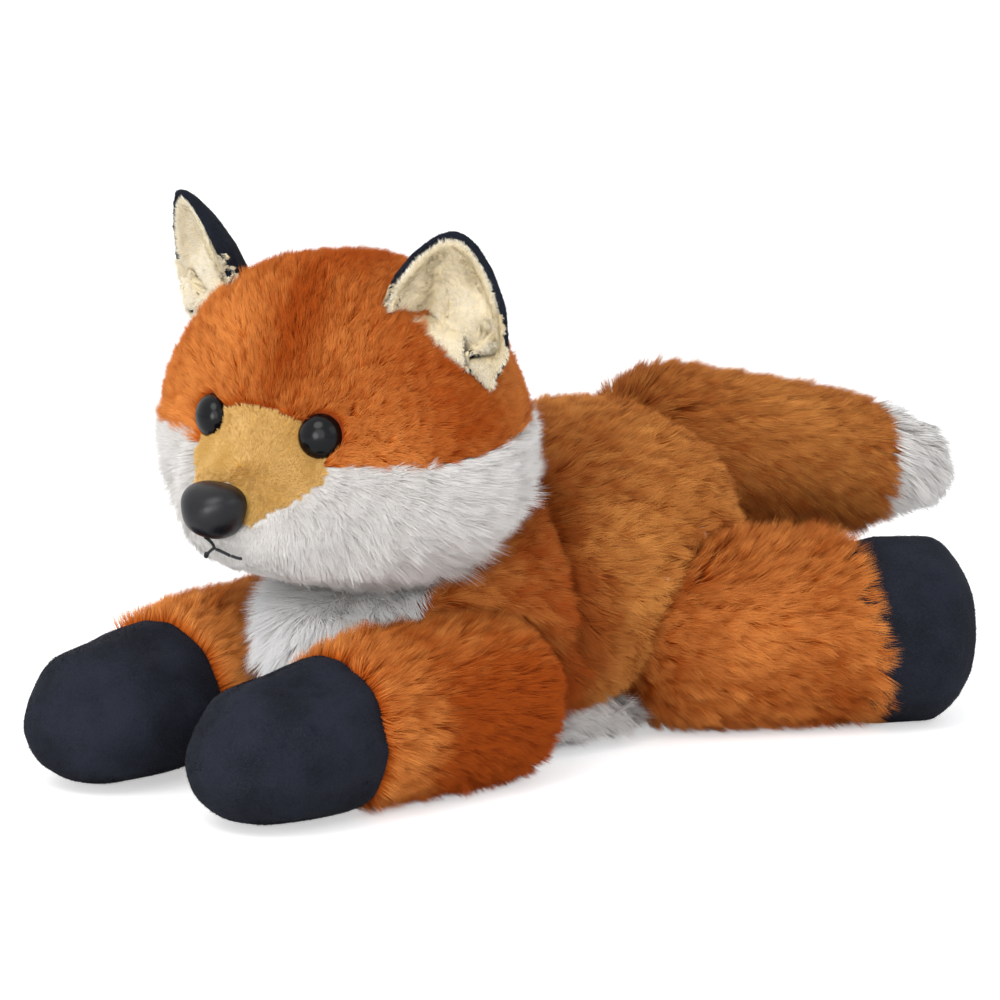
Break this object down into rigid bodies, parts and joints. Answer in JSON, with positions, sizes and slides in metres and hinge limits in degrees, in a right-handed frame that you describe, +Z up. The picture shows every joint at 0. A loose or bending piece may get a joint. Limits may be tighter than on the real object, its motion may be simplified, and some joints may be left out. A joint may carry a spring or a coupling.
{
  "type": "plush fox",
  "caption": "Soft fox lying on its belly with its legs stretched out, a turning head, folding ears and a thick tail.",
  "frame": {"origin": "middle of the footprint, on the floor that the belly and legs rest on", "axes": "+Z up, the fox faces -Y and its tail points to +Y, its left side is +X"},
  "size_m": [0.2016, 0.3051, 0.1592],
  "materials": {
    "russet_plush": "long pile",
    "brown_plush": "long pile",
    "white_plush": "long pile",
    "tan_velour": "short pile",
    "black_velour": "short pile",
    "cream_velour": "short pile",
    "glossy_black": "polished",
    "washer_plastic": "moulded",
    "black_thread": "waxed thread",
    "fibre_filling": "loose fibre",
    "pellet_cloth": "woven bag"
  },
  "bodies": {
    "torso": {"torso_back": "brown_plush", "torso_belly": "white_plush", "torso_filling": "fibre_filling", "pellet_bag": "pellet_cloth"},
    "neck": {"neck_filling": "fibre_filling"},
    "head": {"head_crown": "russet_plush", "head_cheeks": "white_plush", "muzzle_bridge": "tan_velour", "head_filling": "fibre_filling", "eye_left": "glossy_black", "eye_right": "glossy_black", "nose": "glossy_black", "eye_washer_left": "washer_plastic", "eye_washer_right": "washer_plastic", "nose_washer": "washer_plastic", "mouth_stitch": "black_thread"},
    "ear_left": {"ear_left_back": "black_velour", "ear_left_lining": "cream_velour"},
    "ear_right": {"ear_right_back": "black_velour", "ear_right_lining": "cream_velour"},
    "foreleg_left": {"foreleg_left_sleeve": "russet_plush", "foreleg_left_paw": "black_velour", "foreleg_left_filling": "fibre_filling", "foreleg_left_pellet_pouch": "pellet_cloth"},
    "foreleg_right": {"foreleg_right_sleeve": "russet_plush", "foreleg_right_paw": "black_velour", "foreleg_right_filling": "fibre_filling", "foreleg_right_pellet_pouch": "pellet_cloth"},
    "hind_leg_left": {"hind_leg_left_sleeve": "russet_plush", "hind_leg_left_foot": "black_velour", "hind_leg_left_filling": "fibre_filling", "hind_leg_left_pellet_pouch": "pellet_cloth"},
    "hind_leg_right": {"hind_leg_right_sleeve": "russet_plush", "hind_leg_right_foot": "black_velour", "hind_leg_right_filling": "fibre_filling", "hind_leg_right_pellet_pouch": "pellet_cloth"},
    "tail": {"tail_sleeve": "brown_plush", "tail_tip": "white_plush", "tail_filling": "fibre_filling"}
  },
  "joints": [
    {"name": "head_turn", "type": "hinge", "parent": "torso", "child": "neck", "pos_m": [0, -0.05, 0.071], "axis": [0, 0, 1], "range_deg": [-20, 20], "stiffness_Nm_per_rad": 0.4},
    {"name": "head_nod", "type": "hinge", "parent": "neck", "child": "head", "pos_m": [0, -0.05, 0.071], "axis": [-1, 0, 0], "range_deg": [-4, 9], "stiffness_Nm_per_rad": 0.8},
    {"name": "ear_left_fold", "type": "hinge", "parent": "head", "child": "ear_left", "pos_m": [0.04275, -0.07668, 0.12199], "axis": [0.8249, 0.5208, -0.2197], "range_deg": [-20, 20], "stiffness_Nm_per_rad": 0.05},
    {"name": "ear_right_fold", "type": "hinge", "parent": "head", "child": "ear_right", "pos_m": [-0.03075, -0.0844, 0.12586], "axis": [0.9332, -0.336, 0.1271], "range_deg": [-20, 20], "stiffness_Nm_per_rad": 0.05},
    {"name": "foreleg_left_swing", "type": "hinge", "parent": "torso", "child": "foreleg_left", "pos_m": [0.039, -0.058, 0.0225], "axis": [-0.9962, 0.0872, 0], "range_deg": [-70, 3]},
    {"name": "foreleg_right_swing", "type": "hinge", "parent": "torso", "child": "foreleg_right", "pos_m": [-0.039, -0.058, 0.0225], "axis": [-0.9962, -0.0872, 0], "range_deg": [-70, 3]},
    {"name": "hind_leg_left_swing", "type": "hinge", "parent": "torso", "child": "hind_leg_left", "pos_m": [0.037, 0.026, 0.027], "axis": [0.7986, -0.6018, 0], "range_deg": [-60, 3]},
    {"name": "hind_leg_right_swing", "type": "hinge", "parent": "torso", "child": "hind_leg_right", "pos_m": [-0.037, 0.026, 0.027], "axis": [0.7986, 0.6018, 0], "range_deg": [-60, 3]},
    {"name": "tail_swing", "type": "hinge", "parent": "torso", "child": "tail", "pos_m": [0.003, 0.054, 0.078], "axis": [0.9613, -0.2756, 0], "range_deg": [-4, 45], "stiffness_Nm_per_rad": 0.5}
  ]
}
